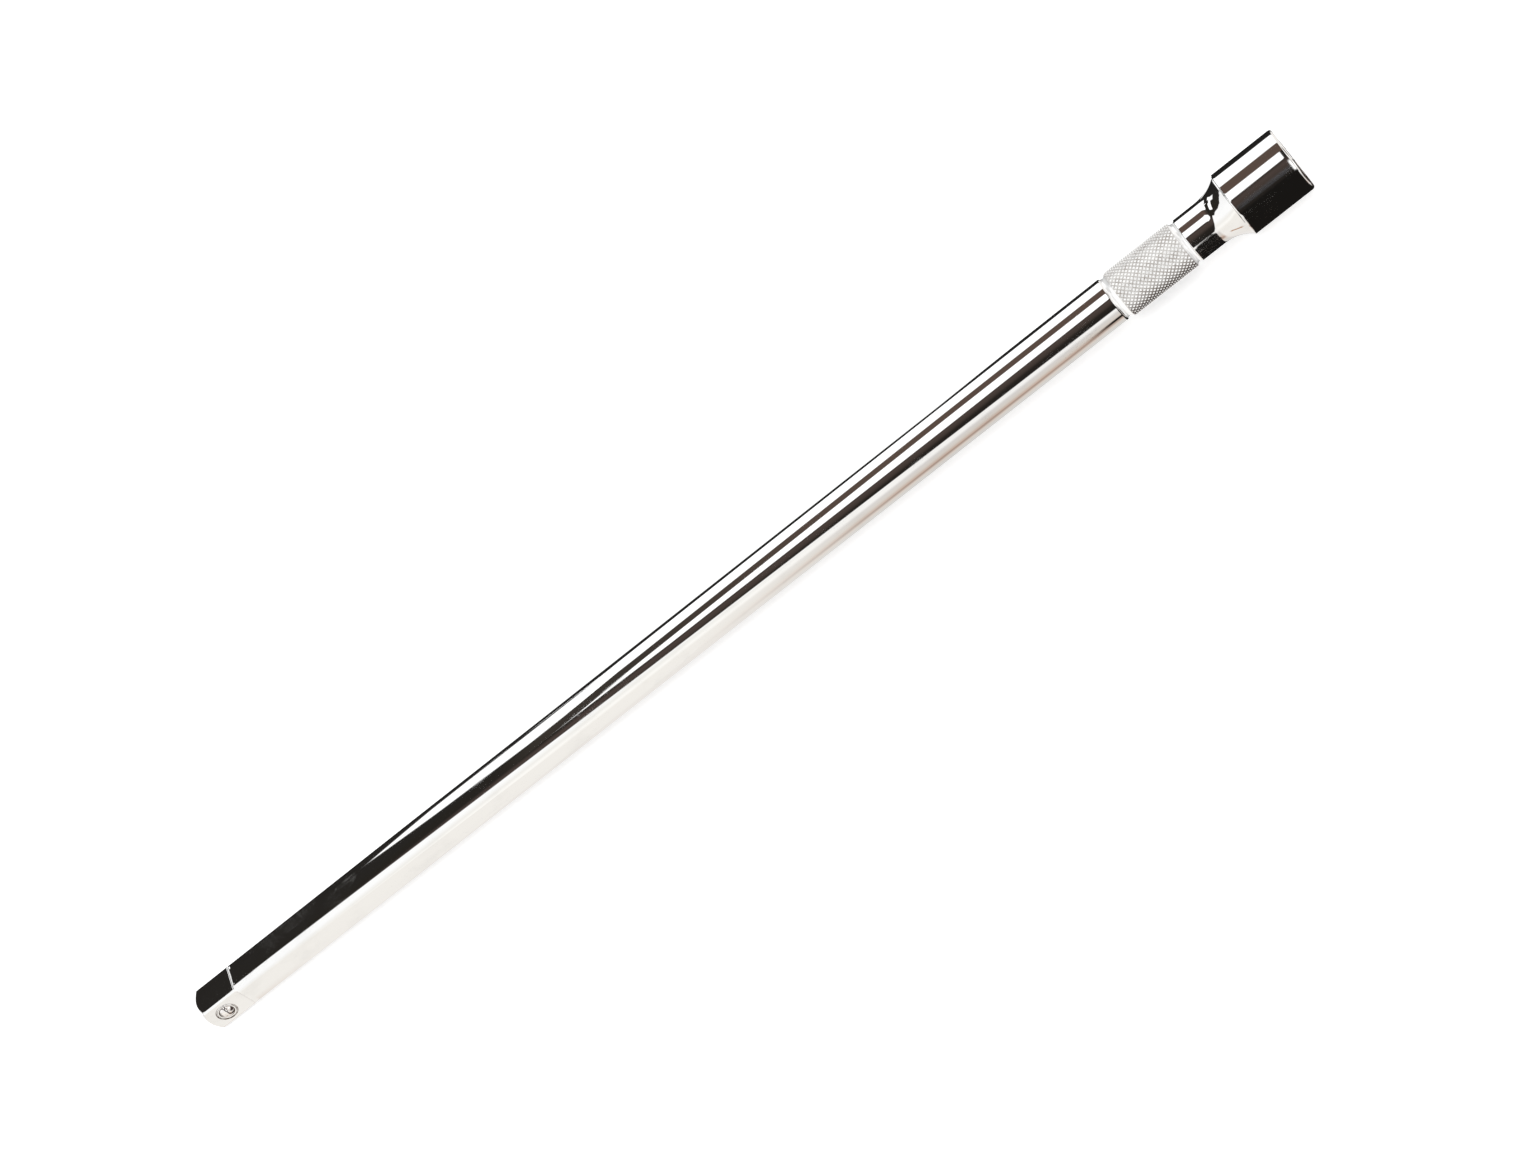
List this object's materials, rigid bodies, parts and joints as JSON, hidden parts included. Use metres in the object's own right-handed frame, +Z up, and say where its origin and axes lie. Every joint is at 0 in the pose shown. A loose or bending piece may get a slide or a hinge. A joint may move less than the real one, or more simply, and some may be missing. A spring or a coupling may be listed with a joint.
{
  "type": "socket extension bar",
  "caption": "Long chrome bar with a male drive square and sprung ball at one end, a knurled band and a female drive socket at the other.",
  "frame": {"origin": "centre of the flat end of the male drive square", "axes": "+X along the bar's axis towards the female end, +Z up; the flats of both squares face +-Y and +-Z, and the ball is in the -Y flat"},
  "size_m": [0.5, 0.0252, 0.0252],
  "materials": {
    "chrome": "mirror-polished chrome plate",
    "knurled_chrome": "bright chrome plate over a diamond knurl",
    "ball_steel": "polished bearing-steel ball",
    "spring_steel": "drawn spring wire"
  },
  "bodies": {
    "bar": {"drive_end": "chrome", "shank": "chrome", "knurled_band": "knurled_chrome", "socket_head": "chrome", "detent_spring": "spring_steel"},
    "ball": {"detent_ball": "ball_steel"}
  },
  "joints": [
    {"name": "ball_press", "type": "slide", "parent": "bar", "child": "ball", "axis": [0, 1, 0], "range_m": [0, 0.0016], "stiffness_N_per_m": 4000, "springref_m": -0.003, "deforming": ["detent_spring"]}
  ]
}
